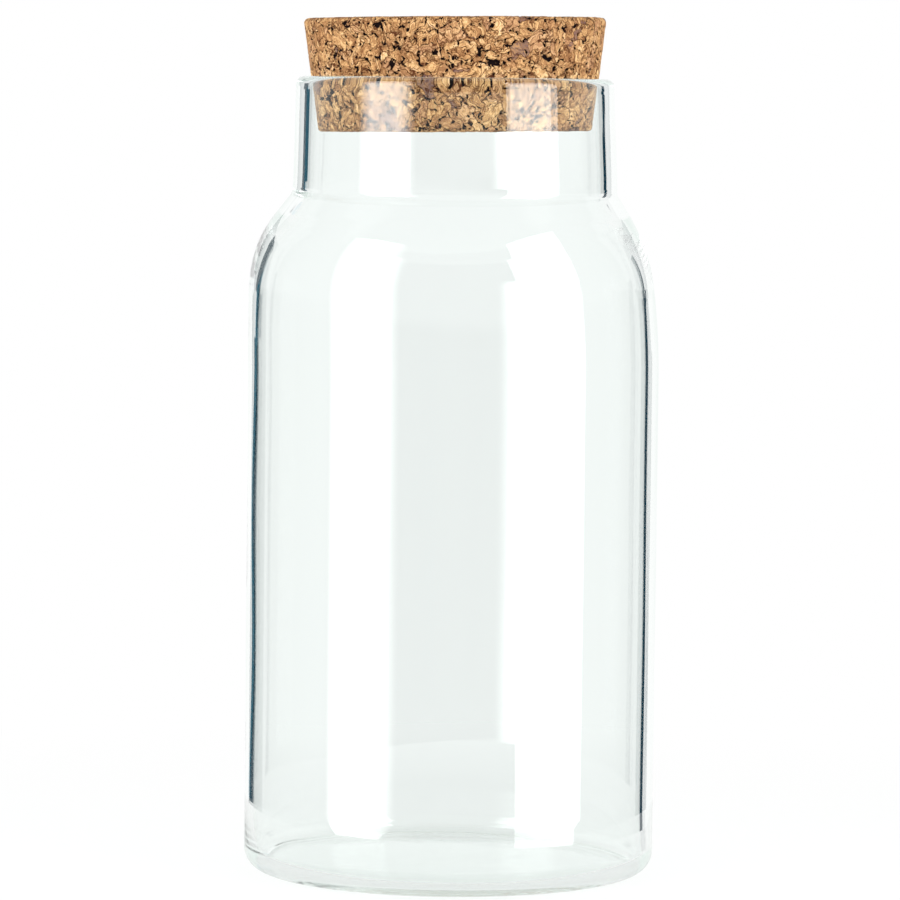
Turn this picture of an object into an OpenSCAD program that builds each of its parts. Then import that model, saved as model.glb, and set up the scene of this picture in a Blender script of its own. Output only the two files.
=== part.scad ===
// One-litre storage jar of clear glass with a tapered cork lid.
// Two pieces: the jar, one unbroken glass wall from its base to its lip, and the cork.
// Millimetres, +Z up, origin at the centre of the ring that the jar stands on.

/* [Jar body] */
// Outside diameter of the straight body
body_d = 100; // [80:1:120]
// Height at which the straight body starts to turn in
wall_top = 122.6; // [70:0.2:180]
// Thickness of the body wall
body_wall = 2.6; // [1.8:0.1:3.2]
// Thickness of the floor
floor_t = 2.4; // [1.8:0.1:4]
// Outside radius of the heel, between base and body
heel_r = 5; // [3:0.5:8]
// Inside radius of the corner between floor and body
floor_corner_r = 4; // [2:0.5:6]

/* [Base] */
// Height of the shallow hollow under the base
hollow_h = 0.8; // [0.4:0.1:1.4]
// Width of the flat ring that the jar stands on
ring_w = 6; // [4:0.5:10]

/* [Shoulder] */
// Radius of the long soft curve from the body into the shoulder
ease_r = 280; // [150:10:400]
// Angle through which the soft curve turns
ease_angle = 4; // [2:0.5:6]
// Radius of the shoulder
shoulder_r = 36; // [28:1:40]
// Steepest slope of the shoulder, measured from upright
shoulder_slope = 35; // [30:1:42]

/* [Neck] */
// Outside diameter where the neck leaves the shoulder
neck_d = 78.9; // [74:0.1:82]
// Height of the neck, from the shoulder to the rim
neck_h = 28; // [24:0.2:45]
// Draw of the neck towards the rim, in degrees
neck_draw = 1.9; // [0:0.1:2.5]
// Thickness of the neck wall, heavier than the body
neck_wall = 3.8; // [3:0.1:5]
// Outside radius of the crease at the foot of the neck
crease_r = 2; // [1:0.5:4]

/* [Cork] */
// Height of the cork
cork_h = 27.4; // [20:0.2:40]
// Depth of the cork below the rim
cork_in = 13; // [8:0.2:18]
// Taper of the cork on each side, in degrees
cork_taper = 7.3; // [4:0.1:9]
// Rounding of the top edge of the cork
cork_top_round = 1.2; // [0.6:0.1:2]
// Rounding of the lower edge of the cork
cork_low_round = 0.8; // [0.4:0.1:1.6]

/* [Fit] */
// Clearance between the cork and the rounded lip that it wedges into
cork_gap = 0.1; // [0.05:0.05:0.3]

/* [Hidden] */
arc_steps = 720;
turn_steps = 180;
cut_past = 1;
overlap = 2;

// Point at a distance and an angle from a centre, in the plane of radius and height
function polar(centre, length, angle) = centre + length * [cos(angle), sin(angle)];

body_r = body_d / 2;
neck_r = neck_d / 2;

// Centres of the two arcs of the shoulder, one touching the body and one touching the first arc
ease_centre = [body_r - ease_r, wall_top];
shoulder_centre = polar(ease_centre, ease_r - shoulder_r, ease_angle);

// The sloping stretch runs straight from the shoulder's arc to the foot of the neck
slope_start = polar(shoulder_centre, shoulder_r, shoulder_slope);
neck_foot_z = slope_start[1] + (slope_start[0] - neck_r) / tan(shoulder_slope);
rim_z = neck_foot_z + neck_h;

// The lip is a full round, as thick as the neck wall, between the neck's two faces
lip_r = neck_wall / 2;
lip_z = rim_z - lip_r;
lip_mid_r = neck_r - (lip_z - neck_foot_z) * tan(neck_draw) - lip_r / cos(neck_draw);
lip_centre = [lip_mid_r, lip_z];
lip_outer = polar(lip_centre, lip_r, neck_draw);
lip_inner = polar(lip_centre, -lip_r, neck_draw);

// The bore runs down from the lip until it meets the inside of the slope
function bore_r(z) = lip_inner[0] + (lip_inner[1] - z) * tan(neck_draw);
inner_slope_start = polar(shoulder_centre, shoulder_r - body_wall, shoulder_slope);
slope_run = tan(shoulder_slope);
bore_foot_z = (inner_slope_start[0] + inner_slope_start[1] * slope_run - lip_inner[0]
    - lip_inner[1] * tan(neck_draw)) / (slope_run - tan(neck_draw));

// The crease is a hollow round outside the corner of neck and slope
crease_mid = (shoulder_slope + neck_draw) / 2;
crease_half = (shoulder_slope - neck_draw) / 2;
crease_centre = polar([neck_r, neck_foot_z], crease_r / cos(crease_half), crease_mid);
crease_low = polar(crease_centre, -crease_r, shoulder_slope);
crease_high = polar(crease_centre, -crease_r, neck_draw);

// The hollow under the base is part of a large sphere
ring_inner_r = body_r - heel_r - ring_w;
hollow_r = (ring_inner_r * ring_inner_r + hollow_h * hollow_h) / (2 * hollow_h);
hollow_centre = [0, hollow_h - hollow_r];

// The cork touches the lip's inner round along its taper, and its size follows from that
cork_low_z = rim_z - cork_in;
cork_top_z = cork_low_z + cork_h;
seat_r = lip_mid_r - (lip_r + cork_gap) / cos(cork_taper);
function cork_r(z) = seat_r + (z - lip_z) * tan(cork_taper);
function cork_round_centre(z, round_r) = [cork_r(z) - round_r / cos(cork_taper), z];
cork_low_centre = cork_round_centre(cork_low_z + cork_low_round, cork_low_round);
cork_top_centre = cork_round_centre(cork_top_z - cork_top_round, cork_top_round);

// Half section of a disc between two heights
module disc_band(centre, disc_r, low_z, high_z) {
    intersection() {
        translate(centre) circle(r = disc_r, $fn = arc_steps);
        translate([0, low_z]) square([body_r + cut_past, high_z - low_z]);
    }
}

// Half section of the body and shoulder as solid, with every face moved in by a depth.
// The two discs touch from inside, so they may run on past where they meet.
module body_section(depth, low_z, corner_r) {
    outer_r = body_r - depth;
    ease_top = wall_top + (ease_r - depth) * sin(ease_angle);
    shoulder_top = polar(shoulder_centre, shoulder_r - depth, shoulder_slope);
    translate([0, low_z]) square([outer_r - corner_r, corner_r]);
    translate([outer_r - corner_r, low_z + corner_r]) circle(r = corner_r, $fn = arc_steps);
    translate([0, low_z + corner_r]) square([outer_r, wall_top - low_z - corner_r]);
    disc_band(ease_centre, ease_r - depth, wall_top - overlap, ease_top);
    disc_band(shoulder_centre, shoulder_r - depth, wall_top, shoulder_top[1] + overlap);
}

// Half section of the slope and neck as solid, up to the middle of the lip
module neck_section() {
    difference() {
        polygon([
            [0, slope_start[1]],
            slope_start,
            crease_low,
            crease_centre,
            crease_high,
            lip_outer,
            lip_inner,
            [0, lip_inner[1]]
        ]);
        translate(crease_centre) circle(r = crease_r, $fn = arc_steps);
    }
}

// Half section of the bore, from the inside of the slope to above the rim
module bore_section() {
    polygon([
        [0, inner_slope_start[1]],
        inner_slope_start,
        [bore_r(bore_foot_z), bore_foot_z],
        lip_inner,
        [lip_inner[0], rim_z + cut_past],
        [0, rim_z + cut_past]
    ]);
}

// The space inside the jar
module inside_section() {
    difference() {
        body_section(body_wall, floor_t, floor_corner_r);
        translate(hollow_centre) circle(r = hollow_r + floor_t, $fn = arc_steps);
    }
    bore_section();
}

module glass_section() {
    difference() {
        union() {
            body_section(0, 0, heel_r);
            neck_section();
        }
        inside_section();
        translate(hollow_centre) circle(r = hollow_r, $fn = arc_steps);
    }
    translate(lip_centre) circle(r = lip_r, $fn = arc_steps);
}

module glass_jar() {
    color([0.86, 0.93, 0.91, 0.45]) rotate_extrude($fn = turn_steps) glass_section();
}

module cork_section() {
    side = cork_taper;
    polygon([
        [0, cork_low_z],
        [cork_low_centre[0], cork_low_z],
        polar(cork_low_centre, cork_low_round, -side),
        polar(cork_top_centre, cork_top_round, -side),
        [cork_top_centre[0], cork_top_z],
        [0, cork_top_z]
    ]);
    translate(cork_low_centre) circle(r = cork_low_round, $fn = arc_steps);
    translate(cork_top_centre) circle(r = cork_top_round, $fn = arc_steps);
}

module cork_stopper() {
    color([0.76, 0.57, 0.38]) rotate_extrude($fn = turn_steps) cork_section();
}

glass_jar();
cork_stopper();
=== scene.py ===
"""A clear glass storage jar with a tapered cork lid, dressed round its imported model.

Metres throughout. The jar is turned from one outline. The cork is a turned plug, worked all over
with the granules, pits and crumbled edge of pressed cork.
"""

import math

import bpy
from mathutils import Matrix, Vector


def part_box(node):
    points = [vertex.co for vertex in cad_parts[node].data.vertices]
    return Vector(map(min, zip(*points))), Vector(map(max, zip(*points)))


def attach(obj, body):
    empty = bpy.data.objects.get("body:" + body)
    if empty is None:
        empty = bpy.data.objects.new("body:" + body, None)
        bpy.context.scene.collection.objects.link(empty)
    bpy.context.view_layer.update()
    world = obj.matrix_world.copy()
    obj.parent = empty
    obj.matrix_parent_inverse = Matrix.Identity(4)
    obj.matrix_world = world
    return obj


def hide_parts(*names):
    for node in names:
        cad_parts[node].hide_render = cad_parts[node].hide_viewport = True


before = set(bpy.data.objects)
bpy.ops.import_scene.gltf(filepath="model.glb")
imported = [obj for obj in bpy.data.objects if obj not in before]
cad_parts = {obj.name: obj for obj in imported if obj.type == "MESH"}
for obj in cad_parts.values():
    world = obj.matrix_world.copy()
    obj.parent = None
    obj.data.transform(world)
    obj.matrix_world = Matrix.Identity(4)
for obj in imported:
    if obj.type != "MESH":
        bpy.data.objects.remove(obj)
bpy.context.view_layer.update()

MM = 0.001

# Jar, outside
BODY_R = 50 * MM
WALL_TOP = 122.6 * MM
HEEL_R = 5 * MM
RING_W = 6 * MM
HOLLOW_H = 0.8 * MM
EASE_R = 280 * MM
EASE_ANGLE = 4
SHOULDER_R = 36 * MM
SHOULDER_SLOPE = 35
NECK_R = 39.45 * MM
NECK_DRAW = 1.9
CREASE_R = 2 * MM

# Jar, thickness
BODY_WALL = 2.6 * MM
FLOOR_T = 2.4 * MM
FLOOR_CORNER_R = 4 * MM
NECK_WALL = 3.8 * MM
SLOPE_WALL = 3.6 * MM
THICKENING = 1.5

# How finely the jar's outline is drawn
JAR_SEGMENTS = 320
DOME_STEPS = 12
HEEL_STEPS = 14
EASE_STEPS = 12
SHOULDER_STEPS = 44
CREASE_STEPS = 6
INNER_CREASE_STEPS = 14
LIP_STEPS = 20
CORNER_STEPS = 12
FLOOR_STEP = 1.5 * MM
WALL_STEP = 5.5 * MM
NECK_STEP = 2 * MM
SLOPE_STEP = 0.8 * MM
MERGE = 0.005 * MM

# Heights that the frame gives
RIM_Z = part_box("glass_jar")[1][2]
CORK_LOW_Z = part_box("cork_stopper")[0][2]
CORK_TOP_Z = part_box("cork_stopper")[1][2]
CORK_TOP_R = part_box("cork_stopper")[1][0]

# Cork
CORK_TAPER = 7.3
CORK_TOP_ROUND = 1.2 * MM
CORK_LOW_ROUND = 0.8 * MM
CORK_TILT = math.radians(0.75)
CORK_SEGMENTS = 240
CORK_VOXEL = 0.42 * MM
TOP_EDGE_STEPS = 8
LOW_EDGE_STEPS = 6

# Camera, fitted to the outline of the jar
LENS = 199.6
SENSOR = 36
CAMERA_DISTANCE = 1213.7 * MM
CAMERA_HEIGHT = 191.5 * MM
CAMERA_TILT = math.radians(4.19)
CAMERA_TURN = math.radians(0.03)
CAMERA_ROLL = math.radians(0.647)
NEAREST, FURTHEST = 0.01, 50


def deselect():
    """Leaves nothing selected, in object mode."""
    if bpy.context.object and bpy.context.object.mode != "OBJECT":
        bpy.ops.object.mode_set(mode="OBJECT")
    bpy.ops.object.select_all(action="DESELECT")


def polar(centre, length, angle):
    """The point at a distance and an angle in degrees from a centre, as (radius, height)."""
    a = math.radians(angle)
    return (centre[0] + length * math.cos(a), centre[1] + length * math.sin(a))


def smooth(share):
    """Eases a share from 0 to 1 in and out."""
    return share * share * (3 - 2 * share)


def arc(centre, radius, start, end, steps):
    """Points along an arc, both ends included, with angles in degrees."""
    return [polar(centre, radius, start + (end - start) * i / steps) for i in range(steps + 1)]


def line(a, b, step):
    """Points from a to b, without either end, about a step apart."""
    count = max(1, round(math.dist(a, b) / step))
    return [(a[0] + (b[0] - a[0]) * i / count, a[1] + (b[1] - a[1]) * i / count) for i in range(1, count)]


class Socket:
    """A node's output that Python's operators work on."""

    def __init__(self, net, link):
        self.net, self.link = net, link

    def __add__(self, other):
        return self.net.maths("ADD", self, other)

    def __radd__(self, other):
        return self.net.maths("ADD", other, self)

    def __sub__(self, other):
        return self.net.maths("SUBTRACT", self, other)

    def __rsub__(self, other):
        return self.net.maths("SUBTRACT", other, self)

    def __mul__(self, other):
        return self.net.maths("MULTIPLY", self, other)

    def __rmul__(self, other):
        return self.net.maths("MULTIPLY", other, self)

    def __lt__(self, other):
        return self.net.maths("LESS_THAN", self, other)

    def __gt__(self, other):
        return self.net.maths("GREATER_THAN", self, other)


class Net:
    """A node tree that is written as expressions."""

    def __init__(self, tree):
        self.tree = tree
        tree.nodes.clear()

    def add(self, kind, settings=None, sockets=None, out=0):
        """Adds a node: its settings first, then values or links on its sockets."""
        node = self.tree.nodes.new(kind)
        for name, value in (settings or {}).items():
            if name == "stops":
                self.set_stops(node.color_ramp, value)
            else:
                setattr(node, name, value)
        for name, value in (sockets or {}).items():
            if isinstance(value, Socket):
                self.tree.links.new(value.link, node.inputs[name])
            else:
                node.inputs[name].default_value = value
        return Socket(self, node.outputs[out]) if len(node.outputs) else None

    @staticmethod
    def set_stops(ramp, stops):
        """Gives a colour ramp its stops, each a place and a colour."""
        while len(ramp.elements) < len(stops):
            ramp.elements.new(1)
        for element, (place, colour) in zip(ramp.elements, stops):
            element.position = place
            element.color = (*colour, 1)

    def maths(self, operation, a, b=0.0):
        return self.add("ShaderNodeMath", {"operation": operation}, {0: a, 1: b})

    def vector(self, operation, a, b=(0, 0, 0)):
        return self.add("ShaderNodeVectorMath", {"operation": operation}, {0: a, 1: b})

    def scaled(self, a, factor):
        """A vector made longer or shorter."""
        return self.add("ShaderNodeVectorMath", {"operation": "SCALE"}, {0: a, "Scale": factor})

    def along(self, a, b):
        """How far a vector reaches along another."""
        return self.add("ShaderNodeVectorMath", {"operation": "DOT_PRODUCT"}, {0: a, 1: b}, "Value")

    def split(self, vector):
        """The three numbers of a vector or colour."""
        return [self.add("ShaderNodeSeparateXYZ", {}, {0: vector}, i) for i in range(3)]

    def step(self, value, low, high):
        """0 below low and 1 above high, smooth between; low may be the higher one."""
        settings = {"interpolation_type": "SMOOTHSTEP"}
        return self.add("ShaderNodeMapRange", settings, {"Value": value, "From Min": low, "From Max": high})

    def noise(self, place, scale, detail=2.0, rough=0.5, out=0):
        sockets = {"Vector": place, "Scale": scale, "Detail": detail, "Roughness": rough}
        return self.add("ShaderNodeTexNoise", {}, sockets, out)

    def cells(self, place, scale, feature="F1", out="Distance"):
        return self.add(
            "ShaderNodeTexVoronoi", {"feature": feature}, {"Vector": place, "Scale": scale}, out
        )

    def blend(self, factor, a, b):
        """A mix of two colours."""
        node = self.tree.nodes.new("ShaderNodeMix")
        node.data_type = "RGBA"
        for socket, value in ((node.inputs[0], factor), (node.inputs[6], a), (node.inputs[7], b)):
            if isinstance(value, Socket):
                self.tree.links.new(value.link, socket)
            else:
                socket.default_value = (*value, 1) if isinstance(value, tuple) else value
        return Socket(self, node.outputs[2])

    def light_path(self, out):
        return self.add("ShaderNodeLightPath", {}, {}, out)


def new_material(name):
    """A material and its empty node tree."""
    material = bpy.data.materials.new(name)
    material.use_nodes = True
    return material, Net(material.node_tree)


def finish_piece(piece, name, body, node, material):
    """Names a finished piece, gives it its material, ties it to its body and hides its CAD node."""
    piece.name = piece.data.name = name
    piece.data.materials.clear()
    piece.data.materials.append(material)
    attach(piece, body)
    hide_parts(node)


def turn_outline(points, segments):
    """A solid of revolution about Z: a point is drawn along the outline, which is then turned."""
    deselect()
    first = points[0]
    bpy.ops.mesh.primitive_plane_add(size=MM, location=(first[0], 0, first[1]))
    piece = bpy.context.object
    origin_to_world(piece)
    bpy.ops.object.mode_set(mode="EDIT")
    bpy.ops.mesh.merge(type="CENTER")
    for a, b in zip(points, points[1:]):
        step = (b[0] - a[0], 0, b[1] - a[1])
        bpy.ops.mesh.extrude_region_move(TRANSFORM_OT_translate={"value": step})
    bpy.ops.object.mode_set(mode="OBJECT")
    apply_modifier(piece, "SCREW", {"axis": "Z", "steps": segments, "render_steps": segments})
    bpy.ops.object.mode_set(mode="EDIT")
    bpy.ops.mesh.select_all(action="SELECT")
    bpy.ops.mesh.remove_doubles(threshold=MERGE)
    bpy.ops.mesh.normals_make_consistent(inside=False)
    bpy.ops.object.mode_set(mode="OBJECT")
    bpy.ops.object.shade_smooth()
    return piece


def origin_to_world(piece):
    """Puts the object's origin at the world's, with its place kept in its mesh."""
    deselect()
    piece.select_set(True)
    bpy.context.view_layer.objects.active = piece
    bpy.ops.object.transform_apply(location=True, rotation=True, scale=True)


def apply_modifier(piece, kind, settings):
    """Adds a modifier with these settings and applies it."""
    modifier = piece.modifiers.new(kind.lower(), kind)
    for name, value in settings.items():
        setattr(modifier, name, value)
    bpy.context.view_layer.objects.active = piece
    bpy.ops.object.modifier_apply(modifier=modifier.name)


# The jar's outline

EASE_CENTRE = (BODY_R - EASE_R, WALL_TOP)
SHOULDER_CENTRE = polar(EASE_CENTRE, EASE_R - SHOULDER_R, EASE_ANGLE)
SLOPE = math.tan(math.radians(SHOULDER_SLOPE))
DRAW = math.tan(math.radians(NECK_DRAW))
SLOPE_START = polar(SHOULDER_CENTRE, SHOULDER_R, SHOULDER_SLOPE)
NECK_FOOT_Z = SLOPE_START[1] + (SLOPE_START[0] - NECK_R) / SLOPE
LIP_R = NECK_WALL / 2
LIP_Z = RIM_Z - LIP_R
LIP_MID_R = NECK_R - (LIP_Z - NECK_FOOT_Z) * DRAW - LIP_R / math.cos(math.radians(NECK_DRAW))
LIP_CENTRE = (LIP_MID_R, LIP_Z)
RING_INNER_R = BODY_R - HEEL_R - RING_W
HOLLOW_R = (RING_INNER_R**2 + HOLLOW_H**2) / (2 * HOLLOW_H)


def dome(low_z, edge_r):
    """The shallow dome of the base, from the axis out to its edge."""
    top = low_z + HOLLOW_H
    radii = [edge_r * i / DOME_STEPS for i in range(DOME_STEPS + 1)]
    return [(r, top - HOLLOW_R + math.sqrt(HOLLOW_R**2 - r**2)) for r in radii]


def shoulder_rise(low_depth, high_depth):
    """From the straight wall up to the start of the slope, as deep inside the glass as it says."""
    ease = arc(EASE_CENTRE, EASE_R - low_depth, 0, EASE_ANGLE, EASE_STEPS)
    shoulder = []
    for i in range(1, SHOULDER_STEPS + 1):
        share = i / SHOULDER_STEPS
        angle = EASE_ANGLE + (SHOULDER_SLOPE - EASE_ANGLE) * share
        depth = low_depth + (high_depth - low_depth) * share**THICKENING
        shoulder.append(polar(SHOULDER_CENTRE, SHOULDER_R - depth, angle))
    return ease + shoulder


def rounded_corner(corner, low_angle, high_angle, radius, steps):
    """The hollow arc that rounds a corner between two faces, whose normals have these angles."""
    middle, half = (low_angle + high_angle) / 2, (low_angle - high_angle) / 2
    reach = radius / math.cos(math.radians(half))
    centre = polar(corner, reach, middle)
    return arc(centre, -radius, low_angle, high_angle, steps)


def jar_outline():
    """The glass in section: up the outside from the axis, over the lip and down the inside."""
    outside = dome(0, RING_INNER_R)
    outside += line((RING_INNER_R, 0), (BODY_R - HEEL_R, 0), FLOOR_STEP)
    outside += arc((BODY_R - HEEL_R, HEEL_R), HEEL_R, -90, 0, HEEL_STEPS)
    outside += line((BODY_R, HEEL_R), (BODY_R, WALL_TOP), WALL_STEP)
    outside += shoulder_rise(0, 0)
    neck_foot = (NECK_R, NECK_FOOT_Z)
    crease = rounded_corner(neck_foot, SHOULDER_SLOPE, NECK_DRAW, CREASE_R, CREASE_STEPS)
    outside += line(SLOPE_START, crease[0], SLOPE_STEP) + crease
    outside += line(crease[-1], polar(LIP_CENTRE, LIP_R, NECK_DRAW), NECK_STEP)
    lip = arc(LIP_CENTRE, LIP_R, NECK_DRAW, 180 + NECK_DRAW, LIP_STEPS)
    start = polar(SHOULDER_CENTRE, SHOULDER_R - SLOPE_WALL, SHOULDER_SLOPE)
    bore_low = lip[-1]
    foot_z = (start[0] + start[1] * SLOPE - bore_low[0] - bore_low[1] * DRAW) / (SLOPE - DRAW)
    foot = (bore_low[0] + (bore_low[1] - foot_z) * DRAW, foot_z)
    inner_r = CREASE_R + NECK_WALL
    inner_crease = rounded_corner(foot, NECK_DRAW, SHOULDER_SLOPE, inner_r, INNER_CREASE_STEPS)
    inside = line(lip[-1], inner_crease[0], NECK_STEP) + inner_crease
    inside += line(inner_crease[-1], start, SLOPE_STEP)
    inside += shoulder_rise(BODY_WALL, SLOPE_WALL)[::-1]
    bore_r = BODY_R - BODY_WALL
    corner = (bore_r - FLOOR_CORNER_R, FLOOR_T + FLOOR_CORNER_R)
    inside += line((bore_r, WALL_TOP), (bore_r, corner[1]), WALL_STEP)
    inside += arc(corner, FLOOR_CORNER_R, 0, -90, CORNER_STEPS)
    floor_edge = math.sqrt(HOLLOW_R**2 - (HOLLOW_R - HOLLOW_H) ** 2)
    inside += line((corner[0], FLOOR_T), (floor_edge, FLOOR_T), FLOOR_STEP)
    inside += dome(FLOOR_T, floor_edge)[::-1]
    return outside + lip + inside


# The unevenness of a hand-finished jar
SWAY = 0.95 * MM
SWAY_RISE, SWAY_FALL = (120 * MM, 156 * MM), (170 * MM, 152 * MM)
BORE_SHIFT = 0.35 * MM
BORE_RISE, BORE_FALL = (3 * MM, 12 * MM), (150 * MM, 126 * MM)
NECK_LEAN = 0.36 * MM
WAVE_SIZE = 34 * MM
WAVE_HEIGHT = 0.07 * MM

# Glass, and what takes its place for the light that passes through it
GLASS_TINT = (0.975, 1.0, 0.99, 1)
GLASS_INDEX = 1.47
CLEAR_TINT = (0.95, 0.97, 0.96, 1)


def make_glass_jar():
    """The jar as one closed wall of glass, a little uneven as such jars are."""
    jar = turn_outline(jar_outline(), JAR_SEGMENTS)
    shift_part(jar, "shoulder", -SWAY, lambda r, z: rise(z, SWAY_RISE) * rise(z, SWAY_FALL))
    shift_part(jar, "bore", -BORE_SHIFT, bore_share)
    shift_part(jar, "neck", -NECK_LEAN, neck_share)
    apply_modifier(jar, "DISPLACE", {
        "texture": soft_clouds("glass_waves", WAVE_SIZE),
        "texture_coords": "LOCAL",
        "strength": WAVE_HEIGHT,
        "mid_level": 0.5,
    })
    finish_piece(jar, "clear_jar", "jar", "glass_jar", clear_glass())
    return jar


def soft_clouds(name, size):
    """A soft uneven pattern, for the slow waves of a glass face."""
    texture = bpy.data.textures.new(name, "CLOUDS")
    texture.noise_scale = size
    texture.noise_depth = 0
    return texture


def shift_part(piece, name, distance, share):
    """Moves part of a piece sideways, each point by its share of the distance."""
    group = piece.vertex_groups.new(name=name)
    for vertex in piece.data.vertices:
        weight = share(math.hypot(vertex.co.x, vertex.co.y), vertex.co.z)
        if weight > 0:
            group.add([vertex.index], weight, "REPLACE")
    apply_modifier(piece, "DISPLACE", {
        "direction": "X",
        "strength": distance,
        "mid_level": 0,
        "vertex_group": name,
    })
    piece.vertex_groups.clear()


def rise(z, heights):
    """0 at the first height and beyond it, 1 at the second, smooth on the way."""
    share = (z - heights[0]) / (heights[1] - heights[0])
    return smooth(min(1, max(0, share)))


def bore_share(r, z):
    """1 on the inside of the body wall, and fading out over the shoulder and the floor."""
    inside = r < BODY_R - BODY_WALL / 2
    return rise(z, BORE_RISE) * rise(z, BORE_FALL) if inside else 0


def neck_share(r, z):
    """How far up the neck a height lies."""
    return max(0, (z - NECK_FOOT_Z) / (RIM_Z - NECK_FOOT_Z))


def clear_glass():
    """Clear glass with a faint green-grey tint, which lets the lamps reach what is behind it."""
    material, net = new_material("clear_glass")
    glass = net.add("ShaderNodeBsdfPrincipled", {}, {
        "Base Color": GLASS_TINT,
        "Roughness": 0,
        "IOR": GLASS_INDEX,
        "Transmission Weight": 1,
    })
    clear = net.add("ShaderNodeBsdfTransparent", {}, {"Color": CLEAR_TINT})
    lit_through = net.maths("MAXIMUM", net.light_path("Is Shadow Ray"), net.light_path("Is Diffuse Ray"))
    mixed = net.add("ShaderNodeMixShader", {}, {0: lit_through, 1: glass, 2: clear})
    net.add("ShaderNodeOutputMaterial", {}, {"Surface": mixed})
    return material


# The cork


def cork_outline():
    """The cork in section, from the middle of its underside to the middle of its top."""
    taper = math.tan(math.radians(CORK_TAPER))
    slant = math.cos(math.radians(CORK_TAPER))
    top_centre_z = CORK_TOP_Z - CORK_TOP_ROUND
    top_centre = (CORK_TOP_R - CORK_TOP_ROUND, top_centre_z)
    low_centre_z = CORK_LOW_Z + CORK_LOW_ROUND
    side_r = top_centre[0] + CORK_TOP_ROUND / slant - (top_centre_z - low_centre_z) * taper
    low_centre = (side_r - CORK_LOW_ROUND / slant, low_centre_z)
    points = [(0, CORK_LOW_Z)]
    points += arc(low_centre, CORK_LOW_ROUND, -90, -CORK_TAPER, LOW_EDGE_STEPS)
    points += arc(top_centre, CORK_TOP_ROUND, -CORK_TAPER, 90, TOP_EDGE_STEPS)
    points.append((0, CORK_TOP_Z))
    return points


# How many granules and flakes there are to a millimetre, and how far their edges wander, in mm
GRANULES, FLAKES = 0.24, 0.62
GRANULE_DRIFT, GRANULE_FRAY = 6.0, 1.3
FLAKE_DRIFT, FLAKE_FRAY = 4.0, 0.9
# How much a pattern is drawn out along a granule's lie, and packed across it
FLAKE_LENGTH, STREAK_LENGTH, STREAK_PACKING = 0.4, 0.5, 2.8
STREAK_SHARE, CRUMB_SHARE = 0.75, 0.25
MID = (0.5, 0.5, 0.5)


def cork_grain(net, place):
    """The make-up of pressed cork at a place: granules, flakes, fibres, seams, rifts and pits."""
    mm = net.scaled(place, 1 / MM)
    drift = net.vector("SUBTRACT", net.noise(mm, scale=0.3, detail=2.0, out="Color"), MID)
    fray = net.vector("SUBTRACT", net.noise(mm, scale=1.0, detail=3.0, out="Color"), MID)
    bent = wander(net, mm, drift, GRANULE_DRIFT, fray, GRANULE_FRAY)
    granule = net.cells(bent, GRANULES, out="Color")
    seam = net.cells(bent, GRANULES, "DISTANCE_TO_EDGE")
    red, green, blue = net.split(granule)
    # each granule has its own lie, along which its flakes and fibres run
    lie = net.vector("NORMALIZE", net.vector("SUBTRACT", granule, MID))
    curled = wander(net, mm, drift, FLAKE_DRIFT, fray, FLAKE_FRAY)
    across = net.scaled(lie, net.along(curled, lie))
    flat = net.vector("ADD", net.scaled(curled, FLAKE_LENGTH), across)
    flake, flake_two, _ = net.split(net.cells(flat, FLAKES, out="Color"))
    flake_edge = net.cells(flat, FLAKES, "DISTANCE_TO_EDGE")
    layered = net.vector("ADD", net.scaled(curled, STREAK_LENGTH), net.scaled(across, STREAK_PACKING))
    streak = net.noise(layered, scale=1.0, detail=4.0, rough=0.72)
    crumb = net.noise(mm, scale=2.2, detail=2.0, rough=0.6)
    layer = net.noise(layered, scale=0.5, detail=1.0)
    rift = 1 - net.step(net.maths("ABSOLUTE", layer - 0.5), 0.01, 0.04)
    broken = net.step(net.noise(mm, scale=1.1, detail=1.0), 0.46, 0.54)
    # pits open along the seams where the granules were pressed less tightly
    loose = net.step(net.noise(mm, scale=0.45, detail=3.0, rough=0.6), 0.51, 0.66)
    pit = (1 - net.step(seam, loose * 0.06, 0.012 + loose * 0.12)) * net.step(loose, 0.12, 0.3)
    slack = net.step(net.noise(mm, scale=0.8, detail=2.0), 0.55, 0.66)
    crack = (1 - net.step(flake_edge, 0.01 + slack * 0.04, 0.03 + slack * 0.11)) * slack
    return {
        "mm": mm,
        "red": red,
        "green": green,
        "blue": blue,
        "seam": seam,
        "flake": flake,
        "flake_two": flake_two,
        "flake_edge": flake_edge,
        "fibre": streak * STREAK_SHARE + crumb * CRUMB_SHARE,
        "rift": rift * broken,
        "pit": pit,
        "crack": crack,
    }


def wander(net, place, drift, drift_by, fray, fray_by):
    """A place moved by a slow drift and a fine fraying."""
    drifted = net.vector("ADD", place, net.scaled(drift, drift_by))
    return net.vector("ADD", drifted, net.scaled(fray, fray_by))


# Depths of the cork's relief and the height of its crumbled edge, in mm
PIT_DEPTH, CRACK_DEPTH, CHIP_DEPTH = 0.55, 0.3, 0.5
GRANULE_STEP, FLAKE_STEP = 0.14, 0.10
CRUMBLED_FROM, CRUMBLED_TO = 1.6, 0.3


def cork_relief(net, grain):
    """How far the surface stands in or out, in metres."""
    height = net.split(grain["mm"])[2]
    low = CORK_LOW_Z / MM
    low_edge = net.step(height, low + CRUMBLED_FROM, low + CRUMBLED_TO)
    crumbled = net.step(net.noise(grain["mm"], scale=0.8, detail=2.0, rough=0.6), 0.48, 0.62)
    level = (grain["red"] - 0.75) * GRANULE_STEP + (grain["flake"] - 0.75) * FLAKE_STEP
    chips = low_edge * crumbled * CHIP_DEPTH
    cut = grain["pit"] * PIT_DEPTH + grain["crack"] * CRACK_DEPTH + chips
    return (level - cut) * MM


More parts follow.
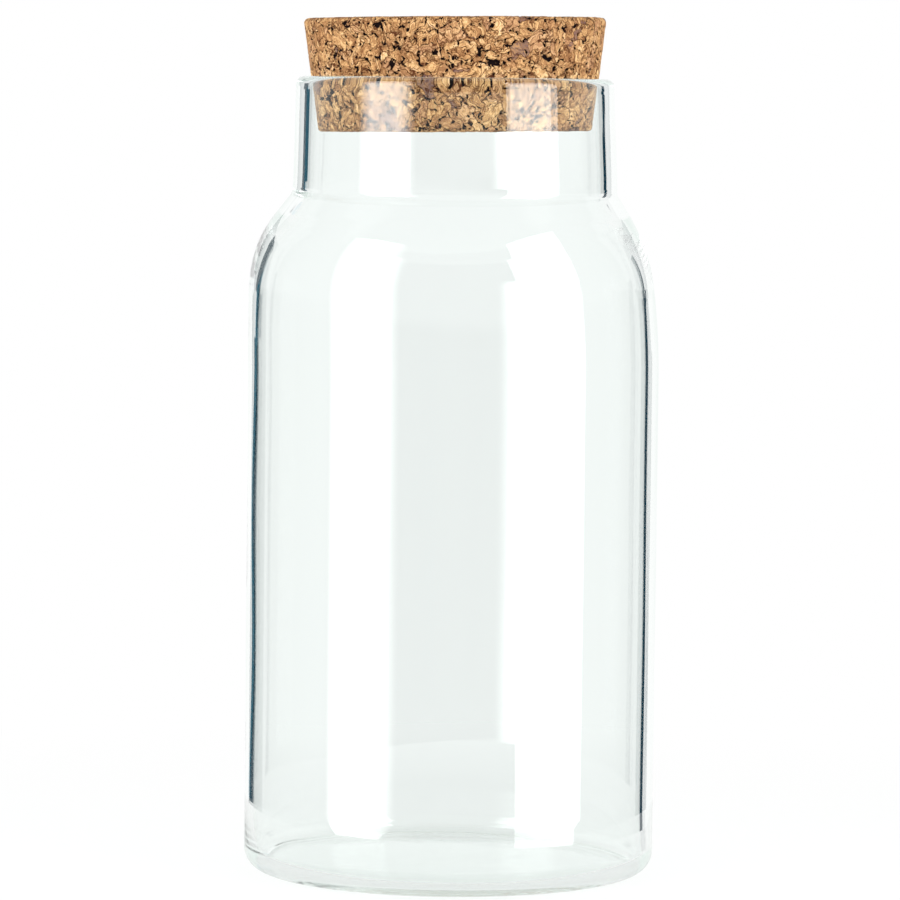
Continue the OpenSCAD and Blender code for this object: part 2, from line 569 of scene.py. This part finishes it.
def work_cork_surface(cork):
    """Cuts the pits and lifts the granules of the cork, and keeps each point's place before the cut."""
    tree = bpy.data.node_groups.new("pressed_cork", "GeometryNodeTree")
    tree.interface.new_socket("Geometry", in_out="INPUT", socket_type="NodeSocketGeometry")
    tree.interface.new_socket("Geometry", in_out="OUTPUT", socket_type="NodeSocketGeometry")
    net = Net(tree)
    shape = net.add("NodeGroupInput")
    place = net.add("GeometryNodeInputPosition")
    normal = net.add("GeometryNodeInputNormal")
    kept = net.add(
        "GeometryNodeStoreNamedAttribute",
        {"data_type": "FLOAT_VECTOR", "domain": "POINT"},
        {"Geometry": shape, "Name": "uncut", "Value": place},
    )
    relief = cork_relief(net, cork_grain(net, place))
    worked = net.add(
        "GeometryNodeSetPosition", {}, {"Geometry": kept, "Offset": net.scaled(normal, relief)}
    )
    net.add("NodeGroupOutput", {}, {0: worked})
    modifier = cork.modifiers.new("pressed_cork", "NODES")
    modifier.node_group = tree
    bpy.context.view_layer.objects.active = cork
    bpy.ops.object.modifier_apply(modifier=modifier.name)


def tilt_cork(cork):
    """Seats the cork a little crooked in the leaning neck."""
    deselect()
    cork.select_set(True)
    bpy.context.view_layer.objects.active = cork
    bpy.ops.object.mode_set(mode="EDIT")
    bpy.ops.mesh.select_all(action="SELECT")
    bpy.ops.transform.translate(value=(-NECK_LEAN, 0, 0))
    bpy.ops.transform.rotate(value=CORK_TILT, orient_axis="Y", center_override=(-NECK_LEAN, 0, LIP_Z))
    bpy.ops.object.mode_set(mode="OBJECT")


def make_cork():
    """The cork: a turned plug, worked all over and seated in the neck."""
    cork = turn_outline(cork_outline(), CORK_SEGMENTS)
    apply_modifier(cork, "REMESH", {"mode": "VOXEL", "voxel_size": CORK_VOXEL})
    work_cork_surface(cork)
    tilt_cork(cork)
    cork.data.shade_smooth()
    finish_piece(cork, "cork_lid", "cork", "cork_stopper", pressed_cork())
    return cork


# Cork colours, from the painted shade of the pits and cracks to the palest flecks
PAINTED_PIT_SHADE = (0.006, 0.002, 0.002)
SEAM = (0.075, 0.022, 0.008)
BROWN = (0.19, 0.080, 0.028)
RUSSET = (0.32, 0.155, 0.066)
TAN = (0.45, 0.24, 0.100)
HONEY = (0.56, 0.325, 0.140)
PALE = (0.70, 0.445, 0.215)
CREAM = (0.88, 0.62, 0.40)
ROSE = (0.42, 0.225, 0.135)
BARK = (0.13, 0.075, 0.075)

# How light the cork is, and how much its fibres, granules and flakes differ
TONE = 0.5
FIBRE_CONTRAST, GRANULE_CONTRAST, FLAKE_CONTRAST = 2.2, 0.12, 0.34
# Where brown lines follow the fibres, and how far each mark covers the tan
LINE_AT, LINE_WIDTH = 0.47, 0.03
ROSE_COVER, LINE_COVER, RIFT_COVER, SEAM_COVER = 0.35, 0.6, 0.8, 0.75
FIBRE_BUMP = 0.12 * MM
CORK_ROUGHNESS, CORK_SHINE = 0.85, 0.1


def pressed_cork():
    """Pressed cork: tan granules of fine fibres, brown seams, dark bark chips, and pits and cracks painted
    near black as shade.
    """
    material, net = new_material("pressed_cork")
    place = net.add("ShaderNodeAttribute", {"attribute_name": "uncut"}, {}, "Vector")
    grain = cork_grain(net, place)
    fibre = grain["fibre"]
    tone = TONE + (fibre - 0.5) * FIBRE_CONTRAST
    tone = tone + (grain["red"] - 0.5) * GRANULE_CONTRAST + (grain["flake"] - 0.5) * FLAKE_CONTRAST
    stops = [
        (0.0, SEAM),
        (0.14, BROWN),
        (0.3, RUSSET),
        (0.45, TAN),
        (0.6, HONEY),
        (0.78, PALE),
        (1.0, CREAM),
    ]
    colour = net.add("ShaderNodeValToRGB", {"stops": stops}, {"Fac": tone}, "Color")
    colour = net.blend(net.step(grain["green"], 0.6, 0.9) * ROSE_COVER, colour, ROSE)
    streaks = 1 - net.step(net.maths("ABSOLUTE", fibre - LINE_AT), 0.0, LINE_WIDTH)
    colour = net.blend(streaks * LINE_COVER, colour, BROWN)
    colour = net.blend(grain["rift"] * RIFT_COVER, colour, SEAM)
    bark = net.step(grain["blue"], 0.965, 0.97)
    colour = net.blend(bark * net.step(fibre, 0.35, 0.6), colour, BARK)
    edge = 1 - net.step(grain["seam"], 0.01, 0.05)
    colour = net.blend(edge * SEAM_COVER, colour, SEAM)
    flake_edge = 1 - net.step(grain["flake_edge"], 0.015, 0.065)
    colour = net.blend(flake_edge * net.step(grain["flake_two"], 0.0, 0.7), colour, SEAM)
    # Painted shade: the pits and cracks are cut into the surface, and their near-black colour paints the
    # shade inside them
    pit_and_crack_shade = net.maths("MAXIMUM", grain["pit"], grain["crack"])
    colour = net.blend(net.step(pit_and_crack_shade, 0.25, 0.7), colour, PAINTED_PIT_SHADE)
    height = cork_relief(net, grain) + fibre * FIBRE_BUMP
    bump = net.add("ShaderNodeBump", {}, {"Strength": 0.7, "Distance": 1.0, "Height": height})
    surface = net.add("ShaderNodeBsdfPrincipled", {}, {
        "Base Color": colour,
        "Roughness": CORK_ROUGHNESS,
        "Specular IOR Level": CORK_SHINE,
        "Normal": bump,
    })
    net.add("ShaderNodeOutputMaterial", {}, {"Surface": surface})
    return material


# The studio


def make_camera():
    """A long lens a little above the middle of the jar, as fitted to its outline."""
    bpy.ops.object.camera_add()
    camera = bpy.context.object
    camera.name = "camera"
    camera.data.lens = LENS
    camera.data.sensor_width = SENSOR
    camera.data.clip_start = NEAREST
    camera.data.clip_end = FURTHEST
    place = Matrix.Translation((0, -CAMERA_DISTANCE, CAMERA_HEIGHT))
    turn = Matrix.Rotation(CAMERA_TURN, 4, "Z")
    tilt = Matrix.Rotation(math.pi / 2 - CAMERA_TILT, 4, "X")
    roll = Matrix.Rotation(CAMERA_ROLL, 4, "Z")
    camera.matrix_world = place @ turn @ tilt @ roll
    bpy.context.scene.camera = camera


LAMP_DISTANCE = 1.1
LAMP_BOTTOM = -0.15
LAMP_TOP = 1.2

# Depths of mirroring: once, twice, and many times as in a light guide
ONCE, TWICE, MANY = 0.5, 1.5, 4.5
# The share of a soft box's glow that its second image loses
SECOND_LOSS = 0.8


def make_lamp(name, turn, width, glow):
    """An upright soft box at an angle from the camera's side, with the same glow at any width."""
    side = math.radians(turn)
    height = LAMP_TOP - LAMP_BOTTOM
    place = (math.sin(side) * LAMP_DISTANCE, -math.cos(side) * LAMP_DISTANCE, LAMP_BOTTOM + height / 2)
    bpy.ops.object.light_add(type="AREA", location=place, rotation=(math.pi / 2, 0, side))
    lamp = bpy.context.object
    lamp.name = name
    lamp.data.shape = "RECTANGLE"
    lamp.data.size = width
    lamp.data.size_y = height
    lamp.data.energy = glow * math.pi * width * height
    lamp.visible_camera = False
    return lamp


def fade_sides(lamp, near_full, far_full):
    """Lets a soft box fall off towards both upright edges, from full glow between two places."""
    lamp.data.use_nodes = True
    net = Net(lamp.data.node_tree)
    across = net.split(net.add("ShaderNodeNewGeometry", {}, {}, "Parametric"))[0]
    glow = net.step(across, 0.0, near_full) * net.step(across, 1.0, far_full)
    glow = glow * (1 - (net.light_path("Glossy Depth") > TWICE) * SECOND_LOSS)
    light = net.add("ShaderNodeEmission", {}, {"Strength": glow})
    net.add("ShaderNodeOutputLight", {}, {"Surface": light})


# Azimuths from straight behind the jar, in degrees, and heights as the sine of the elevation
EDGE_BLUR, HEIGHT_BLUR = 0.4, 0.003
WHITE_END = 34
ROOM_END = (100, 118)
CEILING = (0.025, 0.06)
# The dark strips that line the glass, and where they stand at eye level, for the neck
FLAG_LEFT, FLAG_LEFT_NECK = (25.1, 34.8), (28.0, 38.9)
FLAG_RIGHT, FLAG_RIGHT_NECK = (31.7, 36.8), (33.2, 38.4)
EYE_LEVEL = (-0.03, 0.02)
FLAG_LOW, FLAG_TOP = -0.1485, 0.285
# The strips for what has turned twice inside the glass, and for what its outside mirrors
DEEP_LEFT, DEEP_RIGHT, DEEP_TOP = (20, 31), (20, 33), 0.03
SHADE_LEFT, SHADE_RIGHT = (30, 50), (37.5, 50)
ROOM = (0.68, 0.70, 0.69)
SHADE = (0.005, 0.025, 0.045)
DIM = (0.05, 0.055, 0.055)
FLAG = (0.003, 0.032, 0.055)
TEAL = (0.15, 0.55, 0.75)
GUIDED = (0.80, 0.88, 0.84)
WHITE = (1.0, 1.0, 1.0)


def seen_straight(net):
    """1 for what the camera sees directly or straight through the glass."""
    no_mirror = net.light_path("Glossy Depth") < ONCE
    through = net.light_path("Is Transmission Ray") * no_mirror
    return net.maths("MAXIMUM", net.light_path("Is Camera Ray"), through)


def between(net, value, low, high, blur=EDGE_BLUR):
    """1 where a value lies between two limits."""
    return net.step(value, low - blur, low + blur) * net.step(value, high + blur, high - blur)


def make_world():
    """White behind the jar, a dark strip on each side of the white, then a pale room.

    What the outside of the glass mirrors, and what has turned twice or often inside it, each see
    colours of their own.
    """
    world = bpy.data.worlds.new("studio")
    bpy.context.scene.world = world
    world.use_nodes = True
    net = Net(world.node_tree)
    way = net.add("ShaderNodeTexCoord", {}, {}, "Generated")
    x, y, z = net.split(way)
    right = net.maths("ARCTAN2", x, y) * (180 / math.pi)
    left = 0 - right
    away = net.maths("ABSOLUTE", right)
    eye_level = between(net, z, *EYE_LEVEL, HEIGHT_BLUR)
    wall_level = between(net, z, FLAG_LOW, DEEP_TOP, HEIGHT_BLUR)
    dark_level = between(net, z, FLAG_LOW, FLAG_TOP, HEIGHT_BLUR)
    through = net.light_path("Is Transmission Ray")
    mirrored = net.light_path("Is Glossy Ray") * (1 - through)
    twice = net.light_path("Glossy Depth") > TWICE
    many = net.light_path("Glossy Depth") > MANY
    colour = net.blend(away > WHITE_END, WHITE, ROOM)
    shade = net.maths("MAXIMUM", between(net, left, *SHADE_LEFT), between(net, right, *SHADE_RIGHT))
    colour = net.blend(mirrored * shade * dark_level, colour, SHADE)
    colour = net.blend(net.step(away, *ROOM_END) * (1 - twice), colour, DIM)
    colour = net.blend(net.step(z, *CEILING) * through, colour, WHITE)
    low_flags = net.maths("MAXIMUM", between(net, left, *FLAG_LEFT), between(net, right, *FLAG_RIGHT))
    neck_flags = net.maths(
        "MAXIMUM", between(net, left, *FLAG_LEFT_NECK), between(net, right, *FLAG_RIGHT_NECK)
    )
    colour = net.blend(between(net, left, *DEEP_LEFT) * twice * dark_level, colour, TEAL)
    flags = (low_flags * (1 - eye_level) + neck_flags * eye_level) * dark_level
    flags = net.maths("MAXIMUM", flags, between(net, right, *DEEP_RIGHT) * twice * wall_level)
    colour = net.blend(flags, colour, FLAG)
    colour = net.blend(many, colour, GUIDED)
    colour = net.blend(seen_straight(net), colour, WHITE)
    sky = net.add("ShaderNodeBackground", {}, {"Color": colour, "Strength": 1.0})
    net.add("ShaderNodeOutputWorld", {}, {"Surface": sky})


FLOOR_DROP = 0.3 * MM
FLOOR_R = 12
FLOOR_SIDES = 96
FLOOR_PAINT = (0.9, 0.9, 0.9, 1)
NEAR_FLOOR = 140 * MM
SHADOW_START, SHADOW_REACH = 60 * MM, 280 * MM
# The least share of plain white in the floor, and the painted shade that darkens it near and under the jar
# where it shows in or through the glass
LEAST_WHITE = 0.6
NEAR_PAINTED_SHADE, BASE_PAINTED_SHADE = 0.3, 0.16
# The edge of the painted shade under the jar, as shares of the body's radius
PAINTED_SHADE_EDGE = (1.2, 0.9)


def make_floor():
    """A pale floor. Near the jar it keeps the jar's shadow, and further out it goes over to white. Seen in
    or through the glass, its white carries painted shade near and under the jar.
    """
    deselect()
    bpy.ops.mesh.primitive_circle_add(
        vertices=FLOOR_SIDES, radius=FLOOR_R, fill_type="NGON", location=(0, 0, -FLOOR_DROP)
    )
    floor = bpy.context.object
    floor.name = "floor"
    material, net = new_material("pale_floor")
    place = net.add("ShaderNodeTexCoord", {}, {}, "Object")
    away = net.add("ShaderNodeVectorMath", {"operation": "LENGTH"}, {0: place}, "Value")
    painted = net.add("ShaderNodeBsdfDiffuse", {}, {"Color": FLOOR_PAINT})
    open_floor = net.add("ShaderNodeBsdfTransparent", {}, {"Color": (1, 1, 1, 1)})
    fade = net.step(away, SHADOW_START, SHADOW_REACH) * (1 - LEAST_WHITE) + LEAST_WHITE
    mirrored = net.maths("MAXIMUM", net.light_path("Is Glossy Ray"), net.light_path("Is Transmission Ray"))
    shown_white = net.maths("MAXIMUM", mirrored, net.light_path("Is Camera Ray")) * fade
    painted_shade_under_jar = net.step(away, BODY_R * PAINTED_SHADE_EDGE[0], BODY_R * PAINTED_SHADE_EDGE[1])
    # Painted shade: seen in or through the glass, the floor's white is darkened near the jar, and more
    # under it
    glow = 1 - mirrored * ((1 - fade) * NEAR_PAINTED_SHADE + painted_shade_under_jar * BASE_PAINTED_SHADE)
    white = net.add("ShaderNodeEmission", {}, {"Color": (1, 1, 1, 1), "Strength": glow})
    shown = net.add("ShaderNodeMixShader", {}, {0: shown_white, 1: painted, 2: white})
    out_of_way = mirrored * (1 - seen_straight(net)) * (away > NEAR_FLOOR)
    mixed = net.add("ShaderNodeMixShader", {}, {0: out_of_way, 1: shown, 2: open_floor})
    net.add("ShaderNodeOutputMaterial", {}, {"Surface": mixed})
    floor.data.materials.append(material)


LIGHT_TURNS, CLEAR_LAYERS = 128, 24


def set_light_paths():
    """Room for the many turns that light takes inside thick glass."""
    cycles = bpy.context.scene.cycles
    cycles.max_bounces = LIGHT_TURNS
    cycles.glossy_bounces = LIGHT_TURNS
    cycles.transmission_bounces = LIGHT_TURNS
    cycles.transparent_max_bounces = CLEAR_LAYERS


make_camera()
make_world()
make_floor()
fade_sides(make_lamp("right_softbox", turn=58, width=0.78, glow=6.2), near_full=0.02, far_full=0.98)
fade_sides(make_lamp("left_softbox", turn=-50.5, width=0.9, glow=7.0), near_full=0.18, far_full=0.66)
make_glass_jar()
make_cork()
set_light_paths()
bpy.context.scene.view_settings.view_transform = "Standard"
